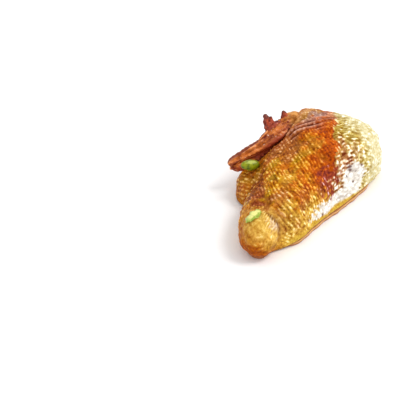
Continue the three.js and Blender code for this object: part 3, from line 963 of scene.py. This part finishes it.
RAGS = [  # path from root to end, half widths on the way, thickness as a share of them, then how ragged it is, how burnt at its end, how much painted shade on its far side, and its finish
    # then how ragged it is, how burnt at its end and on its far side, and its finish
    ([(99, 96, 52), (99.3, 99, 63), (100.4, 104, 78.0)], [9, 5.5, 4.2, 3.6, 3.7, 3.4], 0.6,
     1.0, 0.7, 0.0, rag_finish),
    ([(103, 95, 53), (103.0, 97, 63), (104.6, 99, 75.0)], [9, 6, 4.4, 3.8, 3.6, 3.0], 0.6,
     1.0, 0.7, 0.0, rag_finish),
    ([(97, 97, 56), (106, 94, 61), (118, 90, 64)], [5, 7, 7.5, 7.5, 7, 5], 0.7,
     0.5, 0.7, 0.5, rag_finish),
    ([(124, 87, 58), (119.5, 89, 68), (116.3, 91, 79.5)], [9, 8.5, 7.5, 6, 4, 2.2], 0.5,
     0.5, 0.7, 0.5, rag_finish),
    ([(114, 91, 66), (120, 88.5, 69), (127, 84.5, 68), (139, 80, 67)],
     [4, 5.5, 6.8, 7.2, 7, 5], 0.7, 0.5, 0.0, 0.5, wing_finish),
]

for number, (path, girth, flat, ragged, end_burn, far_shade, finish) in enumerate(RAGS):
    grid, first, last, u, across = limb(path, girth, RAG_RINGS, RAG_SIDES, flat, RAG_FACING)
    length = np.linalg.norm(np.subtract(path[0], path[-1]))
    strand_place = np.stack((u * length * PLEAT_STRETCH, across * PLEAT_SPREAD, 0 * u), -1)
    pleats = wave_noise(strand_place, 4.5, 70 + number)
    tear = wave_noise(grid, 7, 40 + number)
    nick = wave_noise(grid, 3, 60 + number)
    centre_line = grid.mean(1, keepdims=True)
    grow = 1 + ragged * (0.16 * tear + 0.06 * nick + 0.14 * pleats) * smooth_step(0.02, 0.3, u)
    grid = centre_line + (grid - centre_line) * grow[..., None]
    out = grid_normals(grid, grid.mean((0, 1)))
    # Burnt nearly black at the end, and painted shade on the far side.
    burnt_end_and_shade = np.maximum(end_burn * smooth_step(0.86, 1.0, u + 0.05 * tear + 0.04 * nick),
                           far_shade * smooth_step(0.5, 0.95, out @ FAR_UP))
    piece = closed_piece(
        f"wing_rag_{number + 1}", grid, finish.material, first, last,
        {"burnt_end_and_shade": burnt_end_and_shade, "strands": strand_place * MM,
         "tanned": smooth_step(SHOULDER_FROM, SHOULDER_TO, grid[..., 0] + 2 * tear)})
    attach(piece, "root")
    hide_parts("duck")

# ---- Green bean ----------------------------------------------------------------------------
# A short end of a cooked green bean, glossy with fat, lying in the valley between the wing
# and the thigh.

BEAN_LENGTH = 20.4
BEAN_WIDTH = 12.4
BEAN_TURN = -46
BEAN_BEND = 1.2
BEAN_RINGS = 60
BEAN_SIDES = 48
SEAM_DEPTH = 0.05             # the groove of its seam and the swellings over its seeds are
SEED_SWELL = 0.05             # shares of its radius


def ball_rings(rings, sides):
    """Rings of a unit ball about the x axis: (-cos w, sin w cos turn, sin w sin turn)."""
    w = np.linspace(0, np.pi, rings + 1)[1:-1][:, None]
    turn = full_turn(sides)
    return np.stack(np.broadcast_arrays(
        -np.cos(w), np.sin(w) * np.cos(turn), np.sin(w) * np.sin(turn)), -1)


low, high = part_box("green_bean")
bean_centre = ((np.array(low) + np.array(high)) / 2 - ZERO) / MM
bean_height = (high[2] - low[2]) / MM
bean_radii = np.array((BEAN_LENGTH / 2, BEAN_WIDTH / 2, bean_height / 2))
ball = ball_rings(BEAN_RINGS, BEAN_SIDES)
bean = ball * bean_radii
bean[..., 1] += BEAN_BEND * (ball[..., 0] ** 2 - 0.4)
bean *= 1 + 0.02 * wave_noise(ball, 1.1, 50)[..., None]
off_the_ends = 1 - ball[..., 0] ** 2
seam = bell(ball[..., 1] - 0.2, 0.1) * (ball[..., 2] > 0) * off_the_ends
seeds = np.cos(2 * np.pi * ball[..., 0] * 0.9) * off_the_ends
bean[..., 1:] *= (1 + SEED_SWELL * seeds - SEAM_DEPTH * seam)[..., None]
bean = turned(bean, -BEAN_TURN) + bean_centre
bean_ends = turned(np.array([(-1.0, 0, 0), (1.0, 0, 0)]) * bean_radii
                   + np.array((0, 0.6 * BEAN_BEND, 0)), -BEAN_TURN) + bean_centre
# A painted highlight on the upper side of the bean.
bean_highlight = 0.7 * spot(ball, (0.1, -0.35, 0.95), (0.55, 0.3, 0.3), 0.2 * wave_noise(ball, 0.5, 52))

bean_finish = Finish("green_bean", Roughness=0.4, Specular_IOR_Level=0.2, Coat_Weight=0.08)
mottle = (0.5 + (bean_finish.noise(5, 3) - 0.5) * 2.2).clamped()
bean_tone = bean_finish.blend(mottle, colour(52, 80, 0), colour(164, 170, 14))
bean_tone = bean_finish.blend(bean_finish.mask("bean_highlight"), bean_tone, colour(206, 214, 108))
bean_finish.feed("Base Color", bean_tone)
bean_finish.bump(bean_finish.noise(2, 3), 0.3)
bean_piece = closed_piece(
    "bean", bean, bean_finish.material, bean_ends[0], bean_ends[1], {"bean_highlight": bean_highlight})
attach(bean_piece, "root")
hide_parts("green_bean")

# ---- Slice of pepper -----------------------------------------------------------------------
# A thin pale green strip cut from a pepper, whitish along its middle, draped over the knee.

SLICE_CENTRE = (-25.3, 33)
SLICE_LENGTH = 19.0
SLICE_WIDTH = 10.5
SLICE_THICK = 2.6
SLICE_BEND = 0.8
SLICE_TURN = -12
SLICE_LIFT = 0.6
SLICE_RINGS = 70
SLICE_SIDES = 48


def skin_height(places):
    """Height of the body over places [.., (x, y)] on the floor, found by halving."""
    above = np.full(places.shape[:-1], 100.0)
    below = np.full(places.shape[:-1], 5.0)
    for _ in range(22):
        middle = (above + below) / 2
        outside_it = body_distance(np.concatenate((places, middle[..., None]), -1)) > 0
        above = np.where(outside_it, middle, above)
        below = np.where(outside_it, below, middle)
    return above


# The poles come along as two more rings, so that they land on the knee as the rest does.
ball = ball_rings(SLICE_RINGS, SLICE_SIDES)
ball = np.concatenate((ball, [[(-1.0, 0, 0)] * SLICE_SIDES, [(1.0, 0, 0)] * SLICE_SIDES]))
flat_place = ball * (SLICE_LENGTH / 2, SLICE_WIDTH / 2, 0)
flat_place[..., 1] *= 1 + 0.16 * np.sin(8 * ball[..., 0]) + 0.1 * wave_noise(ball, 0.6, 51)
flat_place[..., 1] += SLICE_BEND * (ball[..., 0] ** 2 - 0.4) + 0.45 * np.sin(9 * ball[..., 0])
flat_place = turned(flat_place, -SLICE_TURN)[..., :2] + SLICE_CENTRE
thickness = SLICE_THICK / 2 * (1 + np.sign(ball[..., 2]) * np.abs(ball[..., 2]) ** 0.7)
height = skin_height(flat_place) + SLICE_LIFT + thickness
pepper = np.concatenate((flat_place, height[..., None]), -1)
rim = smooth_step(0.35, 0.9, np.hypot(ball[..., 1], 0.8 * ball[..., 0]))

slice_finish = Finish("pale_pepper", Roughness=0.35, Specular_IOR_Level=0.5, Coat_Weight=0.3)
flesh = slice_finish.noise(2.5, 4)
edge_share = (slice_finish.mask("rim") + (flesh - 0.5) * 2.2).clamped()
slice_tone = slice_finish.blend(edge_share, colour(238, 234, 136), colour(146, 168, 20))
slice_finish.feed("Base Color", slice_tone)
slice_finish.bump(flesh, 0.9)
slice_piece = closed_piece(
    "pepper_strip", pepper[:-2], slice_finish.material, pepper[-2, 0], pepper[-1, 0],
    {"rim": rim[:-2]})
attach(slice_piece, "root")
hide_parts("pepper_slice")
